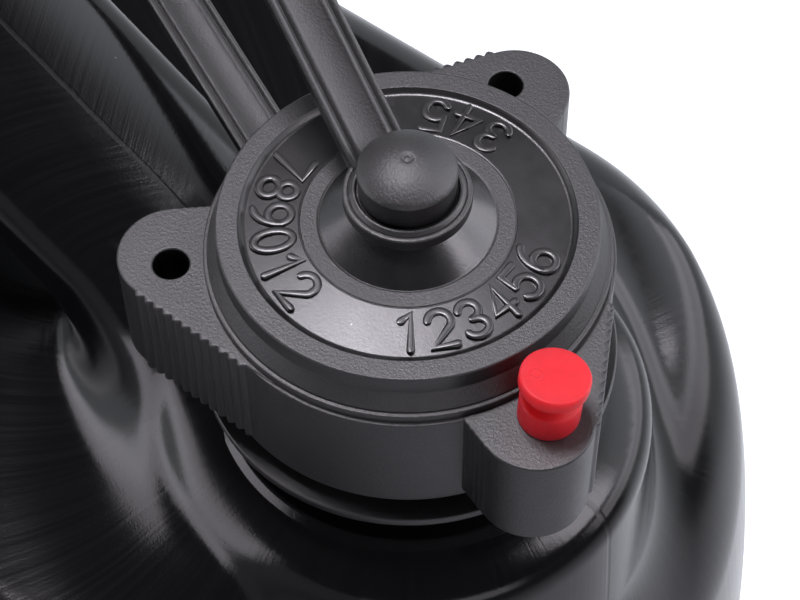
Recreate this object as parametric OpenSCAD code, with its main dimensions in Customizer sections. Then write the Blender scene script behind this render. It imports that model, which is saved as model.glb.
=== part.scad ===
// Plastic fuel can with a three-lug screw cap, a tether strap and a push-in indicator peg.
// Millimetres, Z up. The origin is under the middle of the base and +X points to the cap end.

// Sub-part to draw

/* [Can body] */
// Length of the body from end to end
body_l = 340; // [300:1:400]
// Width of the body from side to side
body_w = 190; // [164:1:220]
// Height of the deck above the ground
deck_z = 374; // [320:1:420]
// Radius of the upright corners
corner_r = 74; // [50:1:80]
// Thickness of the moulded wall
wall = 2.5; // [1.5:0.1:4]
// Radius of the edge round the base
base_edge_r = 12; // [6:1:20]
// How far the shoulder leans in
shoulder_in = 22.5; // [10:0.5:45]
// Height over which the shoulder leans in
shoulder_h = 144; // [60:1:180]

/* [Side panels] */
// Length of the sunk panel on each side
panel_l = 170; // [100:1:185]
// Height of the sunk panel
panel_h = 160; // [80:1:180]
// Height of the panel's lower edge above the ground
panel_z = 50; // [30:1:90]
// Depth of the sunk panel
panel_depth = 3; // [1:0.5:5]
// Corner cut of the sunk panel
panel_cut = 18; // [5:1:30]

/* [Handle] */
// Width of the handle bar
handle_w = 46; // [36:1:60]
// Thickness of the handle bar
handle_t = 26; // [22:1:36]
// Height of the handle's top above the deck
handle_rise = 68; // [60:1:90]
// Rise of the front of the handle in degrees
handle_slope = 29; // [22:1:40]
// Distance of the handle's front foot behind the neck axis
handle_foot_d = 50; // [47:1:60]
// Height of the front foot's crest above the boss
handle_foot_h = 9.8; // [5:0.1:14]
// Bend radius at the front of the handle
handle_front_r = 60; // [40:1:80]
// Length of the level grip
handle_grip_l = 55; // [40:1:90]
// Bend radius at the rear of the handle
handle_rear_r = 36; // [30:1:50]
// Fall of the rear of the handle in degrees
handle_rear_fall = 80; // [60:1:85]

/* [Neck] */
// Distance of the neck axis from the front end
neck_front = 57; // [50:1:75]
// Radius of the round boss at its top
boss_r = 41.7; // [38:0.1:46]
// Height of the boss above the deck
boss_h = 19.2; // [15:0.1:40]
// Draft of the boss wall in degrees
boss_draft = 3.5; // [0.5:0.1:6]
// Radius of the boss edge
boss_edge_r = 3; // [1:0.1:6]
// Radius of the raised step on the boss
step_r = 33; // [31:0.1:37]
// Height of the raised step
step_h = 1.5; // [0.5:0.1:4]
// Height of the neck above the boss
neck_h = 38.2; // [34:0.1:45]
// Radius of the neck at the thread root
neck_r = 27; // [22:0.1:30]
// Radius of the mouth
mouth_r = 24; // [18:0.1:26]
// Radius of the strap ring's seat
seat_r = 27.9; // [23:0.1:31]
// Radius of the bead under the strap ring
bead_r = 30.5; // [26:0.1:33]
// Height of the bead
bead_h = 3; // [2:0.1:6]
// Step of the collar under the bead, out from the thread root
collar_w = 1.5; // [1:0.1:2.5]
// Chamfer of the neck's rim
rim_edge = 0.8; // [0.4:0.1:1.5]
// Clear height between the cap's skirt and the strap's ring
ring_drop = 2; // [1:0.1:4]
// Height of the ring's seat above the ring
seat_over = 1; // [0.5:0.1:2]

/* [Thread] */
// Rise of the thread in one turn
pitch = 5; // [4:0.1:6]
// Height of the thread ridge on the neck
neck_ridge_h = 2.2; // [1.5:0.1:2.6]
// Height of the thread ridge in the cap
cap_ridge_h = 2.6; // [1.5:0.1:2.8]
// Width of a ridge at its root
ridge_root_w = 3; // [2:0.1:3.2]
// Width of a ridge at its crest
ridge_crest_w = 1.2; // [0.6:0.1:1.6]
// Turns of thread on the neck
neck_turns = 2.6; // [1.5:0.1:2.8]
// Turns of thread in the cap
cap_turns = 2.3; // [1.5:0.1:2.5]

/* [Cap] */
// Radius of the top face
face_r = 30; // [25:0.1:34]
// Radius of the skirt
skirt_r = 32.9; // [28:0.1:37]
// Radius of the hollow inside the skirt
hollow_r = 30.2; // [25:0.1:34]
// Depth from the top face to the bottom of the skirt
skirt_depth = 30.5; // [26:0.1:36]
// Depth from the top face to the lug tops
lug_depth = 8; // [6:0.1:12]
// Step from the lug tops down to the skirt's upper edge
lug_step = 0.2; // [0.1:0.05:0.5]
// Thickness of the lugs
lug_t = 20.5; // [10:0.1:21]
// Thickness of the top plate
plate_t = 6.1; // [5.6:0.1:8]
// Set-in of the lip above the lugs from the skirt
lip_in = 0.6; // [0.3:0.1:1]
// Set-in of the flare above the lip
flare_in = 0.7; // [0.4:0.1:1]
// Drop from the top face to the foot of its straight wall
wall_drop = 3.4; // [2:0.1:4]
// Drop from the top face to the foot of the flare
flare_drop = 6.2; // [5:0.1:7]
// Height of the groove between the flare and the lip
flare_groove = 0.4; // [0.2:0.1:0.8]
// Depth of the sunk ring between the rim and the thin line
face_sink = 0.4; // [0.2:0.1:0.8]
// Inner radius of the face's flat rim
rim_in_r = 26.5; // [20:0.1:28]
// Radius of the thin ring line on the face
line_r = 16.7; // [15:0.1:19]
// Radius of the crown under the strap's eye
crown_r = 13.7; // [12:0.1:15]
// Radius of the circle of lug holes
lug_circle_r = 37.4; // [35:0.1:42]
// Direction of the peg's lug in degrees
lug_turn = 341.9; // [0:0.1:360]
// Set-back of a lug's round end from the hole circle
lug_end_back = 0.4; // [0:0.1:1]
// Radius of a lug's round end
lug_end_r = 9; // [7:0.1:11]
// Sideways set of a lug's round end
lug_end_set = 2; // [0:0.1:3]
// Radius of a lug hole
lug_hole_r = 2.9; // [2:0.1:4]
// Number of ribs on a lug's long flank
lug_ribs = 12; // [6:1:16]
// Height of a lug rib
lug_rib_h = 0.7; // [0.3:0.1:1]

/* [Knob] */
// Radius of the knob's head
knob_r = 7.75; // [6.5:0.05:9]
// Height of the knob's top above the face
knob_top = 15; // [12:0.1:18]
// Height of the dome of the knob
knob_dome = 6.6; // [4:0.1:7]
// Radius of the knob's stem
stem_r = 5.9; // [4:0.1:6.5]
// Radius of the hub that carries the strap's eye
hub_r = 8.2; // [7:0.1:9]
// Height of the hub above the face
hub_top = 4.5; // [3:0.1:6]

/* [Gasket] */
// Thickness of the gasket
gasket_t = 2.5; // [1.5:0.1:4]
// Inner radius of the gasket
gasket_in_r = 21; // [15:0.1:23]
// Gap between the gasket and the skirt
gasket_gap = 0.4; // [0.2:0.1:1]

/* [Strap] */
// Outer radius of the strap's eye
eye_r = 10; // [9:0.1:12]
// Thickness of the strap's eye
eye_t = 2.4; // [1.5:0.1:2.6]
// Play of the eye round the stem and under the head
eye_play = 0.3; // [0.1:0.05:0.5]
// Width of the band
band_w = 10; // [8:0.1:13]
// Thickness of the band
band_t = 2.2; // [1.5:0.1:2.4]
// Depth of the grooves and of the sunk middle
band_groove = 0.4; // [0.2:0.05:0.6]
// Half width of the band's sunk middle
mid_w = 2.2; // [1.5:0.1:2.4]
// Width of the rib beside the sunk middle
rib_w = 0.9; // [0.5:0.1:1]
// Width of the groove beside that rib
groove_w = 0.8; // [0.5:0.1:1]
// Width of the slope at the edge of the sunk middle
mid_slope = 0.3; // [0.1:0.05:0.6]
// Direction of the band in degrees
band_turn = 160; // [140:0.5:180]
// Rise of the upper strand in degrees
strand_rise = 34; // [20:1:45]
// Reach of the upper strand from the neck axis
strand_reach = 55; // [35:1:70]
// Rise of the lower strand in degrees
lower_rise = 15; // [5:1:25]
// Outer radius of the strap's ring round the neck
ring_r = 34.8; // [33:0.1:37]
// Thickness of the ring
ring_t = 2.9; // [2:0.1:4]
// Play of the ring round its seat
ring_play = 0.3; // [0.1:0.05:0.5]

/* [Peg] */
// Radius of the peg's head
peg_head_r = 5.4; // [4.5:0.1:6.5]
// Radius of the peg's lower flange
peg_flange_r = 4.8; // [4:0.1:6]
// Radius of the peg's waist
peg_waist_r = 3.4; // [2.5:0.1:4]
// Height of the peg above the lug
peg_h = 9.8; // [7:0.1:13]
// Thickness of the peg's head
peg_head_t = 2.4; // [1.5:0.1:3]
// Thickness of the peg's lower flange
peg_flange_t = 3; // [2:0.1:4]
// Length of the shank in the lug hole
peg_shank_l = 13; // [8:0.1:18]
// Taper of the shank at its tip
peg_tip_in = 0.6; // [0.3:0.1:1]
// Length of that taper
peg_tip_l = 1; // [0.5:0.1:2]
// Height of the slopes at both ends of the waist
peg_slope_h = 0.6; // [0.2:0.1:0.8]
// Chamfer of the head's upper edge
peg_edge = 0.4; // [0.2:0.1:0.8]
// Play of the shank in the lug hole
peg_play = 0.08; // [0.02:0.01:0.1]

/* [Hidden] */
$fn = 64;
mould_black = [0.05, 0.05, 0.055];
cap_black = [0.09, 0.09, 0.095];
strap_black = [0.07, 0.07, 0.075];
rubber_grey = [0.22, 0.22, 0.23];
peg_red = [0.85, 0.1, 0.13];

neck_x = body_l / 2 - neck_front;
boss_z = deck_z + boss_h;
rim_z = boss_z + neck_h;
face_z = rim_z + gasket_t + plate_t;

// Parting of joined forms, so that no two faces of a union or cut fall on each other
over = 2;

// Arc of points in a half-section, from angle a to angle b
function arc(cx, cz, rx, rz, a, b, n) = [
    for (i = [0 : n]) [cx + rx * cos(a + (b - a) * i / n), cz + rz * sin(a + (b - a) * i / n)]
];

// Half-section of the can wall, measured from a corner axis and set in by g
shoulder_steps = 12;
edge_steps = 5;
function wall_section(g) = concat(
    [[0, g]],
    arc(corner_r - base_edge_r, base_edge_r, base_edge_r - g, base_edge_r - g, -90, 0, edge_steps),
    arc(corner_r - shoulder_in - g, deck_z - shoulder_h - g, shoulder_in, shoulder_h, 0, 90, shoulder_steps),
    [[0, deck_z - g]]
);

// Whole can form without neck and handle, set in by g
module body_form(g) {
    half_l = body_l / 2 - corner_r;
    half_w = body_w / 2 - corner_r;
    for (q = [0 : 3]) {
        sx = (q == 0 || q == 3) ? 1 : -1;
        sy = q < 2 ? 1 : -1;
        translate([sx * half_l, sy * half_w, 0])
            rotate([0, 0, 90 * q])
                rotate_extrude(angle = 90)
                    polygon(wall_section(g));
    }
    for (side = [0, 180])
        rotate([0, 0, side]) {
            translate([half_l, half_w, 0])
                rotate([90, 0, 0])
                    linear_extrude(2 * half_w)
                        polygon(wall_section(g));
            translate([-half_l, half_w, 0])
                rotate([90, 0, 90])
                    linear_extrude(2 * half_l)
                        polygon(wall_section(g));
        }
    translate([-half_l, -half_w, g])
        cube([2 * half_l, 2 * half_w, deck_z - 2 * g]);
}

// Sunk side panels, grown by g into the can
module panel_cuts(g) {
    hl = panel_l / 2 + g;
    lo = panel_z - g;
    hi = panel_z + panel_h + g;
    deep = panel_depth + g;
    outline = [
        [-hl + panel_cut, lo], [hl - panel_cut, lo], [hl, lo + panel_cut], [hl, hi - panel_cut],
        [hl - panel_cut, hi], [-hl + panel_cut, hi], [-hl, hi - panel_cut], [-hl, lo + panel_cut]
    ];
    for (side = [0, 180])
        rotate([0, 0, side])
            translate([0, body_w / 2 + over, 0])
                rotate([90, 0, 0])
                    linear_extrude(deep + over)
                        polygon(outline);
}

// Boss under the neck, set in by g and carried down into the can
boss_foot = 60;
least_edge = 0.5;
module boss_form(g) {
    top = boss_z - g;
    r = boss_r - g;
    spread = boss_foot * tan(boss_draft);
    edge = max(boss_edge_r - g, least_edge);
    translate([neck_x, 0, 0])
        rotate_extrude()
            polygon(concat(
                [[0, boss_z - boss_foot], [r + spread, boss_z - boss_foot]],
                arc(r - edge, top - edge, edge, edge, 0, 90, edge_steps),
                [[0, top]]
            ));
}

// Centre line of the handle: front straight, front bend, grip, rear bend, rear straight
bar_z = deck_z + handle_rise - handle_t / 2;
foot_x = neck_x - handle_foot_d - handle_t / 2 * sin(handle_slope);
foot_z = boss_z + handle_foot_h - handle_t / 2 * cos(handle_slope);
front_run = (bar_z - handle_front_r * (1 - cos(handle_slope)) - foot_z) / sin(handle_slope);
grip_x = foot_x - front_run * cos(handle_slope) - handle_front_r * sin(handle_slope);
foot_in = 34;
rear_in = 3 * wall;
rear_x = grip_x - handle_grip_l - handle_rear_r * sin(handle_rear_fall);
rear_z = bar_z - handle_rear_r * (1 - cos(handle_rear_fall));
rear_run = (rear_z - deck_z + rear_in) / sin(handle_rear_fall);

// Rounded section of the bar, set in by g, with its thickness along the first axis
bar_points = 24;
bar_power = 0.8;
function bar_round(v) = sign(v) * pow(abs(v), bar_power);
function bar_section(g) = [
    for (i = [0 : bar_points - 1])
        [(handle_t / 2 - g) * bar_round(cos(360 * i / bar_points)),
         (handle_w / 2 - g) * bar_round(sin(360 * i / bar_points))]
];

// Straight of the bar from a point, along a direction in the XZ plane that is turned up from -X.
// It is a touch slimmer than the bends and laps into them at its ends by back and on.
bar_lap = 2;
bar_slim = 0.1;
module bar_straight(x, z, up, run, back, on, g) {
    translate([x, 0, z])
        rotate([0, up, 0])
            translate([back, 0, 0])
                rotate([0, -90, 0])
                    linear_extrude(back + run + on)
                        polygon(bar_section(g + bar_slim));
}

// Bend of the bar about a point, from the top towards one side
module bar_bend(x, r, sweep, flip, g) {
    translate([x, 0, bar_z - r])
        mirror([flip, 0, 0])
            rotate([90, -90, 180])
                rotate_extrude(angle = sweep)
                    translate([r, 0])
                        polygon(bar_section(g));
}

module handle_form(g) {
    inner = g > 0 ? over : 0;
    bar_straight(foot_x, foot_z, handle_slope, front_run, foot_in + inner, bar_lap, g);
    bar_bend(grip_x, handle_front_r, handle_slope, 0, g);
    bar_straight(grip_x, bar_z, 0, handle_grip_l, bar_lap, bar_lap, g);
    bar_bend(grip_x - handle_grip_l, handle_rear_r, handle_rear_fall, 1, g);
    bar_straight(rear_x, rear_z, -handle_rear_fall, rear_run, bar_lap, inner, g);
}

// Thread ridge wound on a cylinder, standing out from r by h, with run-outs at both ends
ridge_steps = 30;
ridge_root = 0.6;
ridge_runout = ridge_steps / 8;
ridge_dip = 0.2;
function fade(t) = min(1, max(-ridge_dip, t - ridge_dip));
module ridge(r, h, turns, z) {
    n = floor(turns * ridge_steps);
    s = sign(h);
    rings = [for (i = [0 : n])
        let (f = fade(min(i, n - i) / ridge_runout),
             a = 360 * i / ridge_steps,
             c = z + pitch * i / ridge_steps,
             root = r - s * ridge_root,
             crest = r + h * f,
             ww = ridge_root_w / 2,
             cw = ridge_crest_w / 2)
        for (p = s > 0 ? [[root, -ww], [crest, -cw], [crest, cw], [root, ww]]
                       : [[crest, -cw], [root, -ww], [root, ww], [crest, cw]])
            [p[0] * cos(a), p[0] * sin(a), c + p[1]]];
    sides = [for (i = [0 : n - 1]) for (j = [0 : 3])
        [4 * i + j, 4 * i + (j + 1) % 4, 4 * i + 4 + (j + 1) % 4, 4 * i + 4 + j]];
    polyhedron(rings, concat(sides, [[3, 2, 1, 0], [4 * n, 4 * n + 1, 4 * n + 2, 4 * n + 3]]));
}

// Neck with step, bead, strap seat and rim
ring_z = face_z - skirt_depth - ring_drop - ring_t;
seat_top = ring_z + ring_t + seat_over;
collar_r = neck_r + collar_w;
module neck_form() {
    translate([neck_x, 0, 0])
        rotate_extrude()
            polygon([
                [0, boss_z - wall], [step_r, boss_z - wall], [step_r, boss_z + step_h / 2],
                [step_r - step_h / 2, boss_z + step_h], [collar_r, boss_z + step_h],
                [collar_r, ring_z - bead_h], [bead_r, ring_z - bead_h], [bead_r, ring_z],
                [seat_r, ring_z], [seat_r, seat_top], [neck_r, seat_top + seat_r - neck_r],
                [neck_r, rim_z - rim_edge], [neck_r - rim_edge, rim_z], [0, rim_z]
            ]);
}

neck_ridge_z = seat_top + seat_r - neck_r + ridge_root_w / 2;
module can_body() {
    color(mould_black) {
        difference() {
            union() {
                difference() {
                    body_form(0);
                    panel_cuts(0);
                }
                boss_form(0);
                handle_form(0);
                neck_form();
            }
            difference() {
                body_form(wall);
                panel_cuts(wall);
            }
            boss_form(wall);
            handle_form(wall);
            translate([neck_x, 0, boss_z - 2 * wall])
                cylinder(h = rim_z - boss_z + 2 * wall + over, r = mouth_r);
        }
        translate([neck_x, 0, 0])
            ridge(neck_r, neck_ridge_h, neck_turns, neck_ridge_z);
    }
}

// Outline of one lug along +X: round end, ribbed long flank on the left, short flank on the right
flank_bite = lip_in / 2;
lug_cx = lug_circle_r - lug_end_back;
lug_lean = atan2(-lug_end_set, lug_cx);
flank_turn = lug_lean + acos((skirt_r - flank_bite - lug_end_r) / norm([lug_cx, lug_end_set]));
flank_a = (skirt_r - flank_bite) * [cos(flank_turn), sin(flank_turn)];
flank_b = [lug_cx, -lug_end_set] + lug_end_r * [cos(flank_turn), sin(flank_turn)];
lug_arc = 10;
rib_from = 0.2;
function lug_outline() = concat(
    [[0, 0], flank_a],
    [for (i = [0 : 2 * lug_ribs])
        flank_a + (flank_b - flank_a) * (rib_from + (1 - rib_from) * i / (2 * lug_ribs))
            + (i % 2) * lug_rib_h * [cos(flank_turn), sin(flank_turn)]],
    arc(lug_cx, -lug_end_set, lug_end_r, lug_end_r, flank_turn, -90, lug_arc),
    [[0, -lug_end_set - lug_end_r]]
);

// Section of the cap as a closed cup top, measured from the top face
head_z = hub_top + eye_t + 2 * eye_play;
lip_r = skirt_r - lip_in;
flare_r = lip_r - flare_in;
line_slope = 0.2;
ledge = -lug_depth - lug_step;
dome_steps = 8;
function cap_section() = concat(
    [[0, -skirt_depth], [skirt_r, -skirt_depth], [skirt_r, ledge], [lip_r, ledge],
     [lip_r, -flare_drop - flare_groove], [flare_r, -flare_drop - flare_groove], [flare_r, -flare_drop],
     [face_r, -wall_drop], [face_r, -face_sink],
     [face_r - face_sink, 0], [rim_in_r, 0], [rim_in_r - face_sink, -face_sink],
     [line_r, -face_sink], [line_r - line_slope, 0]],
    arc(hub_r, 0, crown_r - hub_r, hub_top, 0, 90, edge_steps),
    [[stem_r, hub_top], [stem_r, head_z], [knob_r, head_z]],
    arc(0, knob_top - knob_dome, knob_r, knob_dome, 0, 90, dome_steps)
);

// The cap's round faces start between two lugs, opposite the peg's lug
cap_start = lug_turn + 180;
cap_ridge_z = neck_ridge_z + pitch / 2;
module screw_cap() {
    color(cap_black)
        translate([neck_x, 0, face_z]) {
            rotate([0, 0, cap_start])
                difference() {
                    union() {
                        rotate_extrude()
                            polygon(cap_section());
                        for (k = [0 : 2])
                            rotate([0, 0, 180 + 120 * k])
                                translate([0, 0, -lug_depth - lug_t])
                                    linear_extrude(lug_t)
                                        polygon(lug_outline());
                    }
                    translate([0, 0, -skirt_depth - over])
                        cylinder(h = skirt_depth + over - plate_t, r = hollow_r);
                    for (k = [0 : 2])
                        rotate([0, 0, 180 + 120 * k])
                            translate([lug_circle_r, 0, -lug_depth - lug_t - over])
                                cylinder(h = lug_t + 2 * over, r = lug_hole_r);
                }
            ridge(hollow_r, -cap_ridge_h, cap_turns, cap_ridge_z - face_z);
        }
}

module cap_gasket() {
    color(rubber_grey)
        translate([neck_x, 0, rim_z])
            difference() {
                cylinder(h = gasket_t, r = hollow_r - gasket_gap);
                translate([0, 0, -over])
                    cylinder(h = gasket_t + 2 * over, r = gasket_in_r);
            }
}

// Strap eye that sits on the hub, under the knob's head
eye_z = face_z + hub_top + eye_play;
module strap_eye() {
    color(strap_black)
        translate([neck_x, 0, eye_z])
            difference() {
                cylinder(h = eye_t, r = eye_r);
                translate([0, 0, -over])
                    cylinder(h = eye_t + 2 * over, r = stem_r + eye_play);
            }
}

// Band section with a sunk middle and a groove near each edge, thickness along the first axis
function band_half(s) = [
    [s * band_t / 2, -band_w / 2], [s * band_t / 2, -mid_w - rib_w - groove_w],
    [s * (band_t / 2 - band_groove), -mid_w - rib_w - groove_w / 2],
    [s * band_t / 2, -mid_w - rib_w], [s * band_t / 2, -mid_w],
    [s * (band_t / 2 - band_groove), -mid_w + mid_slope],
    [s * (band_t / 2 - band_groove), mid_w - mid_slope],
    [s * band_t / 2, mid_w], [s * band_t / 2, mid_w + rib_w],
    [s * (band_t / 2 - band_groove), mid_w + rib_w + groove_w / 2],
    [s * band_t / 2, mid_w + rib_w + groove_w], [s * band_t / 2, band_w / 2]
];
band_outline = concat(band_half(1), [for (i = [11 : -1 : 0]) band_half(-1)[i]]);

// Strap path in the plane of its radius and height: upper strand, loop, lower strand
upper_r = eye_r - band_t;
upper_z = eye_z + eye_t / 2;
lower_r = ring_r - band_t;
lower_z = ring_z + ring_t / 2;
upper_end_z = upper_z + (strand_reach - upper_r) * tan(strand_rise);
loop_fall = upper_end_z - lower_z - (strand_reach - lower_r) * tan(lower_rise);
loop_lean = (sin(strand_rise) + sin(lower_rise)) * tan(lower_rise);
loop_r = loop_fall / (cos(strand_rise) + cos(lower_rise) + loop_lean);
loop_x = strand_reach + loop_r * sin(strand_rise);
loop_z = upper_end_z - loop_r * cos(strand_rise);
lower_end_r = loop_x + loop_r * sin(lower_rise);
module strap_band() {
    color(strap_black)
        translate([neck_x, 0, 0])
            difference() {
                rotate([0, 0, band_turn]) {
                    translate([upper_r, 0, upper_z])
                        rotate([0, 90 - strand_rise, 0])
                            linear_extrude((strand_reach - upper_r) / cos(strand_rise))
                                polygon(band_outline);
                    translate([loop_x, 0, loop_z])
                        rotate([90, 0, 0])
                            rotate([0, 0, lower_rise - 90])
                                rotate_extrude(angle = 180 + strand_rise - lower_rise)
                                    translate([loop_r, 0])
                                        polygon(band_outline);
                    translate([lower_r, 0, lower_z])
                        rotate([0, 90 - lower_rise, 0])
                            linear_extrude((lower_end_r - lower_r) / cos(lower_rise))
                                polygon(band_outline);
                }
                translate([0, 0, eye_z - over])
                    cylinder(h = eye_t + 4 * over, r = eye_r);
                translate([0, 0, ring_z - over])
                    cylinder(h = ring_t + 2 * over, r = ring_r);
            }
}

module strap_ring() {
    color(strap_black)
        translate([neck_x, 0, ring_z])
            difference() {
                cylinder(h = ring_t, r = ring_r);
                translate([0, 0, -over])
                    cylinder(h = ring_t + 2 * over, r = seat_r + ring_play);
            }
}

module indicator_peg() {
    color(peg_red)
        translate([neck_x, 0, face_z - lug_depth])
            rotate([0, 0, lug_turn])
                translate([lug_circle_r, 0, 0])
                    rotate_extrude()
                        polygon([
                            [0, -peg_shank_l], [lug_hole_r - peg_tip_in, -peg_shank_l],
                            [lug_hole_r - peg_play, -peg_shank_l + peg_tip_l], [lug_hole_r - peg_play, 0],
                            [peg_flange_r, 0], [peg_flange_r, peg_flange_t],
                            [peg_waist_r, peg_flange_t + peg_slope_h],
                            [peg_waist_r, peg_h - peg_head_t - peg_slope_h],
                            [peg_head_r, peg_h - peg_head_t],
                            [peg_head_r, peg_h - peg_edge], [peg_head_r - peg_edge, peg_h], [0, peg_h]
                        ]);
}

can_body();
screw_cap();
cap_gasket();
strap_eye();
strap_band();
strap_ring();
indicator_peg();
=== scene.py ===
import math

import bmesh
import bpy
import numpy as np
from mathutils import Matrix, Vector


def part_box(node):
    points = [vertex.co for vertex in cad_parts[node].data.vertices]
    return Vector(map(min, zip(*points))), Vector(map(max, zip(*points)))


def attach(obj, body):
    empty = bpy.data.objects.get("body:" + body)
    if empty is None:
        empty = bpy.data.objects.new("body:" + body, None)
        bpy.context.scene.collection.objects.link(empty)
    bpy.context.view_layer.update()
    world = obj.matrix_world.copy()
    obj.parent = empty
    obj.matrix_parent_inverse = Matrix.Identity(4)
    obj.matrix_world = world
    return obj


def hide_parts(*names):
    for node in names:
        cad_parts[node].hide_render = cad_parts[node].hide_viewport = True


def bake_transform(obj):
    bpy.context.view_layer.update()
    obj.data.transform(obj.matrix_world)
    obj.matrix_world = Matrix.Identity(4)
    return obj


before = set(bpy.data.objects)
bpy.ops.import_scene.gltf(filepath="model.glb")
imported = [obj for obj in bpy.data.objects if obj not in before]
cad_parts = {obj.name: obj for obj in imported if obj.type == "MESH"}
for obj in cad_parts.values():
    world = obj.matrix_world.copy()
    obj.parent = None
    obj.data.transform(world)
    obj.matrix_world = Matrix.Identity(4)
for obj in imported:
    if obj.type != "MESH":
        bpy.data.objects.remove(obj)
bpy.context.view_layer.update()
mm = 0.001
print("frame loaded", sorted(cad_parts))

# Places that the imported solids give
bodyLow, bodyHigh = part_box("can_body")
capLow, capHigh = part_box("screw_cap")
gasketLow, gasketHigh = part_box("cap_gasket")
eyeLow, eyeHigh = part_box("strap_eye")
ringLow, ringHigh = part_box("strap_ring")
pegLow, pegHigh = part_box("indicator_peg")
neckX = (gasketLow.x + gasketHigh.x) / 2
rimZ = gasketLow.z
pegX = (pegLow.x + pegHigh.x) / 2
pegY = (pegLow.y + pegHigh.y) / 2
pegTurn = math.atan2(pegY, pegX - neckX)  # direction of the peg's lug


# Mesh helpers
def arcPoints(cx, cz, rx, rz, fromDeg, toDeg, steps):
    turn = np.radians(np.linspace(fromDeg, toDeg, steps + 1))
    return [(cx + rx * math.cos(t), cz + rz * math.sin(t)) for t in turn]


def softCorners(points, steps=4):  # points are (across, up) or (across, up, corner radius)
    soft = []
    for i, point in enumerate(points):
        radius = point[2] if len(point) > 2 else 0
        if radius <= 0 or i in (0, len(points) - 1):
            soft.append(tuple(point[:2]))
            continue
        here = np.array(point[:2])
        back = np.array(points[i - 1][:2]) - here
        on = np.array(points[i + 1][:2]) - here
        backLength, onLength = np.linalg.norm(back), np.linalg.norm(on)
        back, on = back / backLength, on / onLength
        half = math.acos(max(-1, min(1, back @ on))) / 2
        if half > 1.55:
            soft.append(tuple(here))
            continue
        reach = min(radius / math.tan(half), 0.48 * backLength, 0.48 * onLength)
        bend = reach * math.tan(half)
        middle = back + on
        centre = here + middle / np.linalg.norm(middle) * bend / math.sin(half)
        first, last = here + back * reach - centre, here + on * reach - centre
        a = math.atan2(first[1], first[0])
        sweep = (math.atan2(last[1], last[0]) - a + math.pi) % (2 * math.pi) - math.pi
        for k in range(steps + 1):
            t = a + sweep * k / steps
            soft.append((centre[0] + bend * math.cos(t), centre[1] + bend * math.sin(t)))
    return soft


def lathe(profile, x=0.0, y=0.0, segments=180):  # turns a profile of (radius, height) about an upright axis
    verts, rings, faces = [], [], []
    for r, z in profile:
        if r < 1e-7:
            rings.append([len(verts)])
            verts.append((x, y, z))
            continue
        rings.append(list(range(len(verts), len(verts) + segments)))
        for k in range(segments):
            t = 2 * math.pi * k / segments
            verts.append((x + r * math.cos(t), y + r * math.sin(t), z))
    for a, b in zip(rings, rings[1:]):
        for k in range(segments):
            n = (k + 1) % segments
            if len(a) == 1 and len(b) == 1:
                continue
            if len(a) == 1:
                faces.append((a[0], b[k], b[n]))
            elif len(b) == 1:
                faces.append((a[k], b[0], a[n]))
            else:
                faces.append((a[k], b[k], b[n], a[n]))
    return verts, faces


def joinParts(*parts):
    verts, faces = [], []
    for partVerts, partFaces in parts:
        start = len(verts)
        verts.extend(partVerts)
        faces.extend(tuple(start + i for i in f) for f in partFaces)
    return verts, faces


def makePiece(name, verts, faces, material, evenShade=True):
    mesh = bpy.data.meshes.new(name)
    mesh.from_pydata([tuple(v) for v in verts], [], [tuple(f) for f in faces])
    bm = bmesh.new()
    bm.from_mesh(mesh)
    bmesh.ops.recalc_face_normals(bm, faces=bm.faces)
    bm.to_mesh(mesh)
    bm.free()
    mesh.shade_smooth()
    piece = bpy.data.objects.new(name, mesh)
    bpy.context.scene.collection.objects.link(piece)
    piece.data.materials.append(material)
    if evenShade:
        even = piece.modifiers.new("evenShade", "WEIGHTED_NORMAL")
        even.weight = 60
    return piece


# Node helpers
def newFinish(name):
    material = bpy.data.materials.new(name)
    material.use_nodes = True
    tree = material.node_tree
    return material, tree, tree.nodes["Principled BSDF"]


def put(socket, value, tree):
    if isinstance(value, bpy.types.NodeSocket):
        tree.links.new(value, socket)
    else:
        socket.default_value = value


def addNode(tree, kind, inputs=None, **settings):
    made = tree.nodes.new(kind)
    for key, value in settings.items():
        setattr(made, key, value)
    for key, value in (inputs or {}).items():
        put(made.inputs[key], value, tree)
    return made


def calc(tree, operation, a, b=0.0, c=0.0, clamp=False):
    made = addNode(tree, "ShaderNodeMath", {0: a, 1: b, 2: c}, operation=operation, use_clamp=clamp)
    return made.outputs[0]


def ramp(tree, value, low, high, outLow=0.0, outHigh=1.0):  # smooth step from low to high
    made = addNode(tree, "ShaderNodeMapRange", {0: value, 1: low, 2: high, 3: outLow, 4: outHigh})
    made.interpolation_type = "SMOOTHSTEP"
    return made.outputs[0]


def noise(tree, vector, scale, detail=3.0, roughness=0.5):
    made = addNode(tree, "ShaderNodeTexNoise", {"Vector": vector, "Scale": scale, "Detail": detail,
                                                "Roughness": roughness})
    return made.outputs["Fac"]


def blendColour(tree, share, a, b):
    made = addNode(tree, "ShaderNodeMix", {0: share, 6: a, 7: b}, data_type="RGBA")
    return made.outputs[2]


def bumpUp(tree, height, distance, strength=1.0, under=None):
    made = addNode(tree, "ShaderNodeBump", {"Height": height, "Distance": distance, "Strength": strength})
    if under is not None:
        tree.links.new(under, made.inputs["Normal"])
    return made.outputs["Normal"]


def partPlace(tree):  # the piece's own coordinates in metres, whole and split
    place = addNode(tree, "ShaderNodeTexCoord").outputs["Object"]
    split = addNode(tree, "ShaderNodeSeparateXYZ", {0: place})
    return place, split.outputs[0], split.outputs[1], split.outputs[2]


def fromAxis(tree, x, y):  # distance from an upright axis
    square = calc(tree, "MULTIPLY_ADD", x, x, calc(tree, "MULTIPLY", y, y))
    return calc(tree, "SQRT", square)


def combine(tree, x, y, z):
    return addNode(tree, "ShaderNodeCombineXYZ", {0: x, 1: y, 2: z}).outputs[0]


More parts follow.
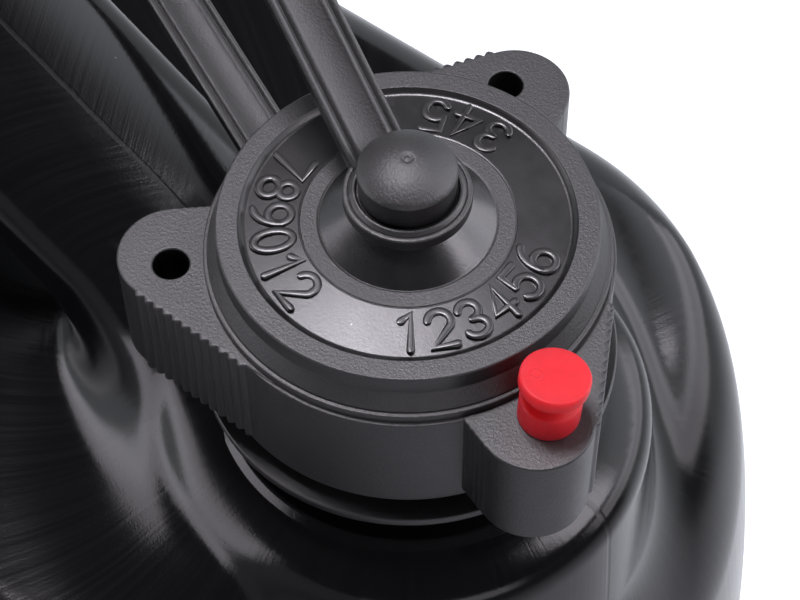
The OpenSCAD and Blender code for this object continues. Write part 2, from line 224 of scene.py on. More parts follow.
def dustSpecks(tree, place, scale, share, size):  # a few pale specks of lint
    cells = addNode(tree, "ShaderNodeTexVoronoi", {"Vector": place, "Scale": scale})
    pick = addNode(tree, "ShaderNodeSeparateColor", {0: cells.outputs["Color"]})
    few = calc(tree, "LESS_THAN", pick.outputs[0], share)
    near = ramp(tree, cells.outputs["Distance"], size, size * 0.5)
    return calc(tree, "MULTIPLY", few, near)


# Can shell
canShell = {
    "cornerR": 74 * mm, "baseEdge": 12 * mm, "shoulderIn": 22.5 * mm, "shoulderH": 144 * mm,
    "shoulderTurn": 20, "endR": 70 * mm, "endSoft": 8 * mm, "endFade": 40 * mm,
    "panelL": 170 * mm, "panelH": 160 * mm, "panelZ": 50 * mm, "panelDepth": 3 * mm, "panelCut": 18 * mm,
    "panelSlope": 6 * mm,
    "handleW": 46 * mm, "handleT": 26 * mm, "handleRise": 68 * mm, "handleSlope": 29, "footD": 50 * mm,
    "footH": 9.8 * mm, "frontR": 60 * mm, "gripL": 55 * mm, "rearR": 36 * mm, "rearFall": 80,
    "sectionPower": 2.5,
    "bossR": 42 * mm, "bossH": 19.2 * mm, "bossDraft": 3.5, "bossEdge": 3 * mm, "bossDome": 18 * mm,
    "bossDomeIn": 28.3 * mm, "bossDomeTurn": 15, "bossLean": 50, "bossIn": 6.5 * mm,
    "bossRoot": 6 * mm, "bossRootEnd": 50 * mm, "leanBack": 20 * mm, "leanRun": 50 * mm,
    "bossReach": 68 * mm,
    "creaseR": 43.5 * mm, "creaseW": 2.4 * mm, "creaseDepth": 0.6 * mm,
    "bossFillet": 13 * mm, "bossFilletEnd": 9 * mm, "handleFillet": 18 * mm, "mouthR": 24 * mm,
    "fine": 1.5 * mm, "middling": 2.5 * mm, "coarse": 7 * mm, "margin": 4 * mm,
}
deckZ = bodyHigh.z - canShell["handleRise"]
bossZ = deckZ + canShell["bossH"]


def planGap(x, y):  # distance outside the upright wall, seen from above
    s = canShell
    overX = np.abs(x) - (bodyHigh.x - s["cornerR"])
    overY = np.abs(y) - (bodyHigh.y - s["cornerR"])
    outer = np.hypot(np.maximum(overX, 0), np.maximum(overY, 0))
    return outer + np.minimum(np.maximum(overX, overY), 0) - s["cornerR"]


def smoothStep(t):
    t = np.clip(t, 0, 1)
    return t * t * (3 - 2 * t)


def panelSink(x, y, z):  # how deep the side panels lie, with sloping edges and cut corners
    s = canShell
    overX = np.abs(x) - s["panelL"] / 2
    overZ = np.abs(z - s["panelZ"] - s["panelH"] / 2) - s["panelH"] / 2
    edge = np.maximum(np.maximum(overX, overZ), (overX + overZ + s["panelCut"]) / math.sqrt(2))
    return s["panelDepth"] * smoothStep(-edge / s["panelSlope"]) * (np.abs(y) > bodyHigh.y / 2)


def ellipseGap(px, pz, a, b):  # distance outside a quarter ellipse, found by walking to its nearest point
    tx = np.full_like(px, 0.7071)
    tz = np.full_like(px, 0.7071)
    for _ in range(4):
        ex, ez = (a * a - b * b) * tx ** 3 / a, (b * b - a * a) * tz ** 3 / b
        qx, qz = px - ex, pz - ez
        scale = np.hypot(a * tx - ex, b * tz - ez) / np.maximum(np.hypot(qx, qz), 1e-12)
        tx, tz = np.clip((qx * scale + ex) / a, 0, 1), np.clip((qz * scale + ez) / b, 0, 1)
        length = np.maximum(np.hypot(tx, tz), 1e-12)
        tx, tz = tx / length, tz / length
    inside = (px / a) ** 2 + (pz / b) ** 2 < 1
    return np.hypot(px - a * tx, pz - b * tz) * np.where(inside, -1, 1)


def melt(a, b, width):  # joins two forms with a fillet
    h = np.maximum(width - np.abs(a - b), 0) / width
    return np.minimum(a, b) - h * h * width / 4


def wallGap(x, y, z):  # walls, rounded base edge, leaning shoulder and deck
    s = canShell
    u = planGap(x, y) + panelSink(x, y, z)
    gap = np.maximum(np.maximum(u, z - deckZ), -z)
    base = (u > -s["baseEdge"]) & (z < s["baseEdge"])
    gap[base] = np.hypot(u[base] + s["baseEdge"], s["baseEdge"] - z[base]) - s["baseEdge"]
    shoulder = (u > -s["shoulderIn"]) & (z > deckZ - s["shoulderH"])
    gap[shoulder] = ellipseGap(u[shoulder] + s["shoulderIn"], z[shoulder] - deckZ + s["shoulderH"],
                               s["shoulderIn"], s["shoulderH"])
    # above the slope named by shoulderTurn a round edge takes over and runs into the deck
    slope = math.radians(s["shoulderTurn"])
    along = math.atan(math.tan(slope) * s["shoulderH"] / s["shoulderIn"])
    edgeR = s["shoulderH"] * (1 - math.sin(along)) / (1 - math.sin(slope))
    out = u + s["shoulderIn"] * (1 - math.cos(along)) + edgeR * math.cos(slope)
    over = z - deckZ + edgeR
    edge = (out > 0) & (over > out * math.tan(slope))
    gap[edge] = np.hypot(out[edge], over[edge]) - edgeR
    # the deck rolls down to the end below the neck
    out, over = x - bodyHigh.x + s["endR"], z - deckZ + s["endR"]
    end = np.hypot(np.maximum(out, 0), np.maximum(over, 0)) - s["endR"]
    end += np.minimum(np.maximum(out, over), 0)
    soft = s["endSoft"] * smoothStep(out / s["endFade"]) * smoothStep(over / s["endFade"])
    h = np.maximum(soft - np.abs(gap - end), 0) / np.maximum(soft, 1e-9)
    return np.maximum(gap, end) + h * h * soft / 4


def endShare(x):  # 0 on the handle's side of the boss, 1 at the cap end
    s = canShell
    return smoothStep((x - neckX + s["leanBack"]) / s["leanRun"])


def bossGap(x, y, z):  # steep at the end, a creased slope on the other side
    s = canShell
    r = np.hypot(x - neckX, y)
    toEnd = endShare(x)
    draft = np.radians(s["bossLean"] + (s["bossDraft"] - s["bossLean"]) * toEnd)
    side = (r - s["bossR"] + s["bossIn"] * (1 - toEnd) - (bossZ - z) * np.tan(draft)) * np.cos(draft)
    side += s["creaseDepth"] * (1 - toEnd) * np.exp(-((r - s["creaseR"]) / s["creaseW"]) ** 2)
    out = np.maximum(r - s["bossDomeIn"], 0) / s["bossDome"]
    rise = s["bossDome"] * (1 - math.cos(math.radians(s["bossDomeTurn"])))
    top = (z - bossZ - rise + s["bossDome"] * out ** 2 / 2) / np.sqrt(1 + out ** 2)
    root = s["bossRoot"] + (s["bossRootEnd"] - s["bossRoot"]) * toEnd
    return np.maximum(-melt(-side, -top, s["bossEdge"]), deckZ - root - z)


def handlePath():  # centre line in the upright middle plane: two straights, two bends and the grip
    s = canShell
    slope, fall = math.radians(s["handleSlope"]), math.radians(s["rearFall"])
    barZ = bodyHigh.z - s["handleT"] / 2
    footX = neckX - s["footD"] - s["handleT"] / 2 * math.sin(slope)
    footZ = bossZ + s["footH"] - s["handleT"] / 2 * math.cos(slope)
    frontRun = (barZ - s["frontR"] * (1 - math.cos(slope)) - footZ) / math.sin(slope)
    bendX, bendZ = footX - frontRun * math.cos(slope), footZ + frontRun * math.sin(slope)
    gripX = bendX - s["frontR"] * math.sin(slope)
    gripEnd = gripX - s["gripL"]
    rearX = gripEnd - s["rearR"] * math.sin(fall)
    rearZ = barZ - s["rearR"] * (1 - math.cos(fall))
    down = (rearZ - deckZ + 8 * mm) / math.sin(fall)
    into = 30 * mm
    lines = [
        ((footX + into * math.cos(slope), footZ - into * math.sin(slope)), (bendX, bendZ)),
        ((gripX, barZ), (gripEnd, barZ)),
        ((rearX, rearZ), (rearX - down * math.cos(fall), rearZ - down * math.sin(fall))),
    ]
    bends = [
        (gripX, barZ - s["frontR"], s["frontR"], math.pi / 2 - slope, math.pi / 2),
        (gripEnd, barZ - s["rearR"], s["rearR"], math.pi / 2, math.pi / 2 + fall),
    ]
    return lines, bends


handleLines, handleBends = handlePath()


def handleGap(x, y, z):
    s = canShell
    off = np.full_like(x, 1.0)
    for (ax, az), (bx, bz) in handleLines:
        run = np.array((bx - ax, bz - az))
        t = np.clip(((x - ax) * run[0] + (z - az) * run[1]) / (run @ run), 0, 1)
        off = np.minimum(off, np.hypot(x - ax - t * run[0], z - az - t * run[1]))
    for cx, cz, r, low, high in handleBends:
        turn = np.arctan2(z - cz, x - cx)
        here = np.abs(np.hypot(x - cx, z - cz) - r)
        off = np.where((turn >= low) & (turn <= high), np.minimum(off, here), off)
    a, b, p = s["handleT"] / 2, s["handleW"] / 2, s["sectionPower"]
    n, w = np.maximum(off / a, 1e-6), np.maximum(np.abs(y) / b, 1e-6)
    size = (n ** p + w ** p) ** (1 / p)
    slopeN, slopeW = (n / size) ** (p - 1) / a, (w / size) ** (p - 1) / b
    return (size - 1) / np.hypot(slopeN, slopeW)


def canGap(points):
    x, y, z = points.T
    s = canShell
    fillet = s["bossFillet"] + (s["bossFilletEnd"] - s["bossFillet"]) * endShare(x)
    shell = melt(wallGap(x, y, z), bossGap(x, y, z), fillet)
    return melt(shell, handleGap(x, y, z), s["handleFillet"])


def gridLine(*stops):  # places along one axis, as (from, step) pairs and the end
    places = []
    for (start, step), following in zip(stops[:-1], stops[1:]):
        end = following[0] if isinstance(following, tuple) else following
        places.extend(np.linspace(start, end, max(1, round((end - start) / step)), endpoint=False))
    return np.array(places + [stops[-1]])


def slopeOf(field, points, step=0.05 * mm):
    slope = np.empty_like(points)
    for axis in range(3):
        shift = np.zeros(3)
        shift[axis] = step
        slope[:, axis] = (field(points + shift) - field(points - shift)) / (2 * step)
    return slope


def netSurface(xs, ys, zs, field):  # one point in each cell that the surface crosses, joined by quads
    grid = np.stack(np.meshgrid(xs, ys, zs, indexing="ij"), -1)
    value = field(grid.reshape(-1, 3)).reshape(grid.shape[:3])
    inside = value < 0
    cells = tuple(n - 1 for n in inside.shape)
    corners = [(i, j, k) for i in (0, 1) for j in (0, 1) for k in (0, 1)]
    count = sum(inside[i:i + cells[0], j:j + cells[1], k:k + cells[2]].astype(int) for i, j, k in corners)
    mixed = (count > 0) & (count < 8)
    number = np.full(cells, -1)
    number[mixed] = np.arange(mixed.sum())
    cell = np.stack(np.nonzero(mixed), -1)
    total, hits = np.zeros((len(cell), 3)), np.zeros(len(cell))
    for a in corners:
        for axis in range(3):
            if a[axis]:
                continue
            b = list(a)
            b[axis] = 1
            ia, ib = tuple((cell + a).T), tuple((cell + b).T)
            va, vb = value[ia], value[ib]
            cross = (va < 0) != (vb < 0)
            share = va[cross] / (va[cross] - vb[cross])
            pa, pb = grid[ia][cross], grid[ib][cross]
            total[cross] += pa + share[:, None] * (pb - pa)
            hits += cross
    quads = []
    for axis in range(3):
        u, v = (axis + 1) % 3, (axis + 2) % 3
        low = [slice(1, -1)] * 3
        high = [slice(1, -1)] * 3
        low[axis], high[axis] = slice(None, -1), slice(1, None)
        first, second = inside[tuple(low)], inside[tuple(high)]
        around = []
        for du, dv in ((0, 0), (1, 0), (1, 1), (0, 1)):
            pick = [slice(None)] * 3
            pick[u] = slice(du, cells[u] - 1 + du)
            pick[v] = slice(dv, cells[v] - 1 + dv)
            around.append(number[tuple(pick)])
        ring = np.stack(around, -1)
        quads.append(ring[first & ~second])
        quads.append(ring[~first & second][:, ::-1])
    return total / hits[:, None], np.concatenate(quads)


def buildCanShell(material):
    s = canShell
    margin, bossReach = s["margin"], s["bossReach"]
    lowX, highX, highY = bodyLow.x - margin, bodyHigh.x + margin, bodyHigh.y + margin
    fine, middling, coarse = s["fine"], s["middling"], s["coarse"]
    panelTop = s["panelZ"] + s["panelH"]
    band = 2 * s["panelSlope"]
    xs = gridLine((lowX, middling), (neckX - bossReach, fine), highX)
    ys = gridLine((-highY, middling), (-bossReach, fine), (bossReach, middling), highY)
    zs = gridLine((-margin, middling), (s["baseEdge"] + margin, coarse), (s["panelZ"] - margin, middling),
                  (s["panelZ"] + band, coarse), (panelTop - band, middling), (panelTop + margin, coarse),
                  (deckZ - 60 * mm, middling), (deckZ - 20 * mm, fine), bodyHigh.z + margin)
    points, quads = netSurface(xs, ys, zs, canGap)
    for _ in range(4):  # settle the points on the surface
        slope = slopeOf(canGap, points)
        points -= canGap(points)[:, None] * slope / np.maximum((slope ** 2).sum(1), 0.05)[:, None]
    middle = points[quads].mean(1)
    mouth = (np.hypot(middle[:, 0] - neckX, middle[:, 1]) < s["mouthR"]) & (middle[:, 2] > deckZ)
    quads = quads[~mouth]
    mesh = bpy.data.meshes.new("can_shell")
    mesh.from_pydata(points.tolist(), [], quads.tolist())
    mesh.shade_smooth()
    slope = slopeOf(canGap, points)
    slope /= np.linalg.norm(slope, axis=1)[:, None]
    mesh.normals_split_custom_set_from_vertices(slope.tolist())
    shell = bpy.data.objects.new("can_shell", mesh)
    bpy.context.scene.collection.objects.link(shell)
    mesh.materials.append(material)
    print("can shell", len(points), "points")
    return shell


# Neck of the can
canNeck = {
    "stepR": 33 * mm, "stepH": 1.5 * mm, "collarR": 28.5 * mm, "beadR": 30.5 * mm, "beadH": 3 * mm,
    "seatR": 27.9 * mm, "seatOver": 1 * mm, "rootR": 27 * mm, "mouthR": 24 * mm, "rimEdge": 0.8 * mm,
    "ridgeH": 2.2 * mm, "ridgeRoot": 3 * mm, "ridgeCrest": 1.2 * mm, "pitch": 5 * mm, "turns": 2.6,
}


def threadRidge(r, s, startZ, steps=60):  # winds round the neck axis, inwards where its height is negative
    verts, faces = [], []
    count = int(s["turns"] * steps)
    root, crest = s["ridgeRoot"] / 2, s["ridgeCrest"] / 2
    bite = math.copysign(0.4 * mm, s["ridgeH"])
    for i in range(count + 1):
        t = 2 * math.pi * i / steps
        rise = s["ridgeH"] * min(1, min(i, count - i) * 8 / steps)
        for across, up in ((-bite, -root), (rise, -crest), (rise, crest), (-bite, root)):
            out, z = r + across, startZ + s["pitch"] * i / steps + up
            verts.append((neckX + out * math.cos(t), out * math.sin(t), z))
    for i in range(count):
        for j in range(4):
            n = (j + 1) % 4
            faces.append((4 * i + j, 4 * i + n, 4 * i + 4 + n, 4 * i + 4 + j))
    faces.append((3, 2, 1, 0))
    faces.append((4 * count, 4 * count + 1, 4 * count + 2, 4 * count + 3))
    return verts, faces


def buildNeck(material):
    s = canNeck
    stepZ, beadZ, seatZ = bossZ + s["stepH"], ringLow.z, ringHigh.z + s["seatOver"]
    rootZ = seatZ + s["seatR"] - s["rootR"]
    profile = softCorners([
        (s["stepR"] + 1.4 * mm, bossZ - 0.4 * mm), (s["stepR"] + 0.3 * mm, bossZ, 1.2 * mm),
        (s["stepR"] - 1.2 * mm, stepZ, 1.2 * mm), (s["collarR"], stepZ, 0.8 * mm),
        (s["collarR"], beadZ - s["beadH"], 0.4 * mm), (s["beadR"], beadZ - s["beadH"], 0.6 * mm),
        (s["beadR"], beadZ, 0.5 * mm), (s["seatR"], beadZ, 0.3 * mm), (s["seatR"], seatZ, 0.3 * mm),
        (s["rootR"], rootZ, 0.5 * mm), (s["rootR"], rimZ, s["rimEdge"]), (s["mouthR"], rimZ, s["rimEdge"]),
        (s["mouthR"], bossZ - 5 * mm)])
    ridge = threadRidge(s["rootR"], s, rootZ + s["ridgeRoot"] / 2)
    neck = makePiece("can_neck", *joinParts(lathe(profile, neckX), ridge), material)
    print("neck turned")
    return neck


# Screw cap
screwCap = {
    "knobTop": 15 * mm, "knobR": 7.75 * mm, "knobDome": 2.7 * mm, "knobRim": 0.3 * mm, "gateR": 0.8 * mm,
    "stemR": 5.9 * mm, "hubR": 8.2 * mm,
    "hubTop": 4.5 * mm, "crownR": 13.7 * mm, "lineR": 16.7 * mm, "rimInR": 26.5 * mm, "faceR": 30 * mm,
    "sink": 0.85 * mm, "dishEdge": 0.9 * mm, "wallDrop": 3.4 * mm, "flareR": 31.6 * mm,
    "flareDrop": 6.2 * mm, "groove": 0.4 * mm,
    "lipR": 32.3 * mm, "lugDepth": 8 * mm, "lugStep": 0.2 * mm, "skirtR": 32.9 * mm,
    "skirtDepth": 30.5 * mm,
    "hollowR": 30.2 * mm, "plateT": 6.1 * mm,
    "lugT": 20.5 * mm, "lugCircleR": 37.4 * mm, "lugBack": 0.4 * mm, "lugEndR": 9 * mm, "lugEndSet": 2 * mm,
    "lugHoleR": 2.9 * mm, "lugEdge": 0.35 * mm, "ribs": 12, "ribH": 0.7 * mm, "ribFrom": 0.2,
    "smallRibs": 5, "smallRibH": 0.12 * mm,
    "ridgeH": -2.6 * mm, "ridgeRoot": 3 * mm, "ridgeCrest": 1.2 * mm, "pitch": 5 * mm, "turns": 2.3,
}
faceZ = capHigh.z - screwCap["knobTop"]


def capProfile():
    s = screwCap
    under = eyeHigh.z - faceZ + 0.3 * mm  # underside of the knob's head
    gate, rim = s["gateR"], s["knobTop"] - s["knobDome"]
    domeR = (s["knobR"] ** 2 + s["knobDome"] ** 2) / (2 * s["knobDome"])
    spread = math.degrees(math.asin(s["knobR"] / domeR))
    dome = arcPoints(0, s["knobTop"] - domeR, domeR, domeR, 90, 90 - spread * 0.96, 16)[2:]
    knob = [(0, s["knobTop"] - 0.1 * mm), (gate * 0.5, s["knobTop"] - 0.12 * mm),
            (gate * 0.7, s["knobTop"] - 0.3 * mm), (gate, s["knobTop"] - 0.12 * mm)] + dome
    crown = softCorners([(s["hubR"] - 0.6 * mm, s["hubTop"]), (s["hubR"], s["hubTop"], 0.3 * mm),
                         (s["crownR"], 0)])
    face = softCorners([
        dome[-1], (s["knobR"], rim - s["knobRim"], 0.4 * mm), (s["knobR"] - 0.2 * mm, under, 0.3 * mm),
        (s["stemR"], under, 0.2 * mm),
        (s["stemR"], s["hubTop"], 0.3 * mm), (s["hubR"] - 0.6 * mm, s["hubTop"])])
    plate = softCorners([
        (s["crownR"], 0), (s["crownR"] + 0.15 * mm, -0.15 * mm, 0.1 * mm),
        (s["crownR"] + 0.5 * mm, 0, 0.2 * mm),
        (s["lineR"], 0, 0.1 * mm), (s["lineR"] + 0.15 * mm, -0.18 * mm, 0.1 * mm),
        (s["lineR"] + 0.4 * mm, -0.06 * mm, 0.1 * mm), (s["rimInR"] - s["dishEdge"], -s["sink"], 0.9 * mm),
        (s["rimInR"], 0, 0.25 * mm), (s["faceR"], 0, 0.4 * mm),
        (s["faceR"], -s["wallDrop"], 0.8 * mm), (s["flareR"], -s["flareDrop"], 0.3 * mm),
        (s["flareR"], -s["flareDrop"] - s["groove"], 0.15 * mm),
        (s["lipR"], -s["flareDrop"] - s["groove"], 0.25 * mm),
        (s["lipR"], -s["lugDepth"] - s["lugStep"], 0.15 * mm),
        (s["skirtR"], -s["lugDepth"] - s["lugStep"], 0.25 * mm), (s["skirtR"], -s["skirtDepth"], 0.5 * mm),
        (s["hollowR"], -s["skirtDepth"], 0.5 * mm), (s["hollowR"], -s["plateT"], 0.8 * mm),
        (0, -s["plateT"])])
    return [(r, faceZ + z) for r, z in knob + face[1:-1] + crown + plate[1:]]


def lugOutline():  # along +X: round end, ribbed long flank on the left, short flank on the right
    s = screwCap
    endX, bite = s["lugCircleR"] - s["lugBack"], 0.3 * mm
    lean = math.atan2(-s["lugEndSet"], endX)
    turn = lean + math.acos((s["skirtR"] - bite - s["lugEndR"]) / math.hypot(endX, s["lugEndSet"]))
    out = np.array((math.cos(turn), math.sin(turn)))
    start = (s["skirtR"] - bite) * out
    end = np.array((endX, -s["lugEndSet"])) + s["lugEndR"] * out
    inner = s["hollowR"] + 1 * mm
    points = [inner * np.array((math.cos(turn + 0.05), math.sin(turn + 0.05))), start]
    steps = 8
    for i in range(s["ribs"] * steps + 1):
        share = s["ribFrom"] + (1 - s["ribFrom"]) * i / (s["ribs"] * steps)
        wave = abs(math.sin(math.pi * i / steps))
        points.append(start + (end - start) * share + out * s["ribH"] * wave)
    points += [np.array(p) for p in arcPoints(endX, -s["lugEndSet"], s["lugEndR"], s["lugEndR"],
                                              math.degrees(turn), -90, 26)[1:]]
    low = -s["lugEndSet"] - s["lugEndR"]
    lastX = math.sqrt(inner ** 2 - low ** 2)
    for i in range(1, s["smallRibs"] * steps + 1):  # faint ribs on the short flank
        share = 0.8 * i / (s["smallRibs"] * steps)
        wave = 0.5 - 0.5 * math.cos(2 * math.pi * i / steps)
        points.append(np.array((endX + (lastX - endX) * share, low - s["smallRibH"] * wave)))
    points.append(np.array((lastX, low)))
    return points


def lugPrism():  # one lug with rounded edges and its through hole
    s = screwCap
    edge = s["lugEdge"]
    outline = np.array(lugOutline())
    on = np.roll(outline, -1, 0) - outline
    sideOut = np.stack((on[:, 1], -on[:, 0]), -1) / np.linalg.norm(on, axis=1)[:, None]
    if np.sum(outline[:, 0] * np.roll(outline[:, 1], -1) - outline[:, 1] * np.roll(outline[:, 0], -1)) < 0:
        sideOut = -sideOut
    out = sideOut + np.roll(sideOut, 1, 0)
    out /= np.linalg.norm(out, axis=1)[:, None]
    hole = np.array(arcPoints(s["lugCircleR"], 0, s["lugHoleR"], s["lugHoleR"], 0, 360, 40)[:-1])
    holeOut = (np.array((s["lugCircleR"], 0)) - hole) / s["lugHoleR"]
    top, bottom = -s["lugDepth"], -s["lugDepth"] - s["lugT"]
    bm = bmesh.new()
    for loop, away in ((outline, out), (hole, holeOut)):
        rings = []
        for share in (0, 0.35, 0.7, 1):
            bend = share * math.pi / 2
            flat = loop - away * edge * (1 - math.sin(bend))
            rings.append((flat, top - edge * (1 - math.cos(bend))))
        rings += [(flat, top + bottom - z) for flat, z in reversed(rings)]
        made = [[bm.verts.new((p[0], p[1], z)) for p in flat] for flat, z in rings]
        for a, b in zip(made, made[1:]):
            for k in range(len(a)):
                n = (k + 1) % len(a)
                bm.faces.new((a[k], a[n], b[n], b[k]))
    bm.verts.index_update()
    for level in (top, bottom):
        edges = [e for e in bm.edges if all(abs(v.co.z - level) < 1e-9 for v in e.verts)]
        bmesh.ops.triangle_fill(bm, use_beauty=True, edges=edges)
    bm.verts.index_update()
    verts = [tuple(v.co) for v in bm.verts]
    faces = [tuple(v.index for v in f.verts) for f in bm.faces]
    bm.free()
    return verts, faces


def turned(part, angle, x=0.0, y=0.0, z=0.0):
    c, s = math.cos(angle), math.sin(angle)
    return [(x + c * p[0] - s * p[1], y + s * p[0] + c * p[1], z + p[2]) for p in part[0]], part[1]


def buildCap(material):
    s = screwCap
    lug = lugPrism()
    lugs = [turned(lug, pegTurn + 2 * math.pi * k / 3, neckX, 0, faceZ) for k in range(3)]
    ridgeZ = ringHigh.z + canNeck["seatOver"] + canNeck["seatR"] - canNeck["rootR"]
    ridge = threadRidge(s["hollowR"], s, ridgeZ + s["ridgeRoot"] / 2 + s["pitch"] / 2)
    body = lathe(capProfile(), neckX, segments=240)
    cap = makePiece("cap_moulding", *joinParts(body, *lugs, ridge), material)
    print("cap moulded")
    return cap


# Raised numbers on the cap, as on a dial
capNumbers = {
    "height": 6.2 * mm, "stroke": 1.35 * mm, "level": 0.7, "raise": 0.6 * mm, "radius": 21.2 * mm,
    "spread": 13.8,
    "places": ((0, "123456"), (-120, "789012"), (120, "345")),
}


def digitStrokes():  # strokes on a cell one unit high
    bowl = arcPoints(0, -0.2, 0.29, 0.3, 180, -180, 24)
    six = [bowl, arcPoints(0.24, -0.2, 0.53, 0.7, 180, 100, 12)]
    return {
        "0": [arcPoints(0, 0, 0.29, 0.5, 180, -180, 28)],
        "1": [[(-0.16, 0.3), (0.08, 0.5), (0.08, -0.5)]],
        "2": [arcPoints(0, 0.21, 0.29, 0.29, 165, -35, 16) + [(-0.29, -0.5), (0.29, -0.5)]],
        "3": [arcPoints(0, 0.25, 0.26, 0.25, 160, -90, 16), arcPoints(0, -0.25, 0.29, 0.25, 90, -160, 16)],
        "4": [[(0.13, -0.5), (0.13, 0.5), (-0.3, -0.2), (0.3, -0.2)]],
        "5": [[(0.25, 0.5), (-0.21, 0.5), (-0.25, 0.05)]
              + arcPoints(-0.01, -0.18, 0.3, 0.32, 135, -150, 18)],
        "6": six,
        "7": [[(-0.29, 0.5), (0.29, 0.5), (-0.1, -0.5)]],
        "8": [arcPoints(0, 0.26, 0.24, 0.24, 180, -180, 22),
              arcPoints(0, -0.24, 0.29, 0.26, 180, -180, 24)],
        "9": [[(-x, -y) for x, y in stroke] for stroke in six],
    }


def raisedStroke(points):  # a ridge with a rounded top along a path, with rounded ends
    s = capNumbers
    half, high = s["stroke"] / 2, s["raise"]
    path = np.array(points) * s["height"]
    closed = np.allclose(path[0], path[-1])
    ahead = np.diff(path, axis=0)
    ahead /= np.linalg.norm(ahead, axis=1)[:, None]
    way = np.vstack((ahead[:1], ahead[:-1] + ahead[1:], ahead[-1:]))
    if closed:
        way[0] = way[-1] = ahead[0] + ahead[-1]
    way /= np.linalg.norm(way, axis=1)[:, None]
    stations = [(c, w, 1.0) for c, w in zip(path, way)]
    if not closed:
        for reach, size in ((0.5, 0.87), (0.85, 0.53), (1.0, 0.1)):
            stations.insert(0, (path[0] - way[0] * half * reach, way[0], size))
            stations.append((path[-1] + way[-1] * half * reach, way[-1], size))
    bend = [math.radians(a) for a in range(0, 181, 20)]
    section = [(1.0, -0.4)] + [(math.copysign(abs(math.cos(a)) ** 0.6, math.cos(a)), math.sin(a) ** 0.4)
                               for a in bend] + [(-1.0, -0.4)]
    n = len(section)
    verts = [(c[0] + w[1] * half * size * u, c[1] - w[0] * half * size * u, high * max(v, -0.4))
             for c, w, size in stations for u, v in section]
    faces = [(n * i + j, n * i + j + 1, n * i + n + j + 1, n * i + n + j)
             for i in range(len(stations) - 1) for j in range(n - 1)]
    return verts, faces


def buildNumbers(material):
    s = capNumbers
    strokes = digitStrokes()
    parts = []
    for place, digits in s["places"]:
        for k, digit in enumerate(digits):
            angle = pegTurn + math.radians(place + (k - (len(digits) - 1) / 2) * s["spread"])
            seatX, seatY = neckX + s["radius"] * math.cos(angle), s["radius"] * math.sin(angle)
            for stroke in strokes[digit]:  # the digits' tops point to the knob
                parts.append(turned(raisedStroke(stroke), angle + math.pi / 2, seatX, seatY,
                                    faceZ - screwCap["sink"]))
    verts, faces = joinParts(*parts)
    c = screwCap
    fall = (c["sink"] - 0.06 * mm) / (c["rimInR"] - c["dishEdge"] - c["lineR"])  # the dish falls outwards
    seat = faceZ - c["sink"]
    placed = []
    for x, y, z in verts:
        lift = max(0, min(1, (z - seat) / s["raise"])) * s["level"]  # the tops stay nearly level
        r = math.hypot(x - neckX, y) * (1 - lift) + s["radius"] * lift
        placed.append((x, y, z + c["sink"] - 0.06 * mm - fall * (r - c["lineR"])))
    numbers = makePiece("cap_numbers", placed, faces, material)
    print("numbers raised")
    return numbers


# Tether strap: eye, band and neck ring in one moulding
tetherStrap = {
    "eyeBead": 0.55 * mm, "bandW": 10 * mm, "bandT": 2.2 * mm, "sunk": 0.45 * mm, "midW": 2.3 * mm,
    "ribW": 0.9 * mm, "grooveW": 0.8 * mm, "turn": 160, "upRise": 34, "reach": 55 * mm, "lowRise": 15,
    "step": 0.8 * mm,
    "ringSeatPlay": 0.3 * mm, "ringShare": 0.65,
}


def bandSection():  # (thickness, width) points round the band, with ribs, grooves and a sunk middle
    s = tetherStrap
    t, w, m = s["bandT"] / 2, s["bandW"] / 2, s["midW"]
    rib, groove = m + s["ribW"], m + s["ribW"] + s["grooveW"]
    edge = 0.25 * mm
    side = [(t - edge, -w), (t, -w + edge), (t, -groove - 0.1 * mm), (t - s["sunk"], -groove + 0.25 * mm),
            (t - s["sunk"], -rib - 0.25 * mm), (t, -rib + 0.05 * mm), (t, -m - 0.15 * mm),
            (t - s["sunk"], -m + 0.3 * mm), (t - s["sunk"], 0)]
    upper = side + [(a, -b) for a, b in reversed(side[:-1])]
    return upper + [(-a, -b) for a, b in upper]


def strapPath():  # (distance from the neck axis, height, direction of travel) along the band
    s = tetherStrap
    up, low = math.radians(s["upRise"]), math.radians(s["lowRise"])
    eyeR, ringR = (eyeHigh.x - eyeLow.x) / 2, (ringHigh.x - ringLow.x) / 2
    startR, startZ = eyeR - s["bandT"], (eyeLow.z + eyeHigh.z) / 2
    endR, endZ = ringR - s["bandT"], (ringLow.z + ringHigh.z) / 2
    topZ = startZ + (s["reach"] - startR) * math.tan(up)
    fall = topZ - endZ - (s["reach"] - endR) * math.tan(low)
    loopR = fall / (math.cos(up) + math.cos(low) + (math.sin(up) + math.sin(low)) * math.tan(low))
    loopX, loopZ = s["reach"] + loopR * math.sin(up), topZ - loopR * math.cos(up)
    lastR = loopX + loopR * math.sin(low)
    path = []
    upperRun = (s["reach"] - startR) / math.cos(up)
    for d in np.linspace(0, upperRun, int(upperRun / s["step"]), endpoint=False):
        path.append((startR + d * math.cos(up), startZ + d * math.sin(up), up))
    sweep = math.pi + up - low
    for turn in np.linspace(0, sweep, int(loopR * sweep / s["step"]), endpoint=False):
        heading = up - turn
        path.append((loopX - loopR * math.sin(heading), loopZ + loopR * math.cos(heading), heading))
    lowerRun = (lastR - endR) / math.cos(low)
    for d in np.linspace(0, lowerRun, int(lowerRun / s["step"])):
        path.append((lastR - d * math.cos(low), endZ + (lastR - endR) * math.tan(low) - d * math.sin(low),
                     low - math.pi))
    return path


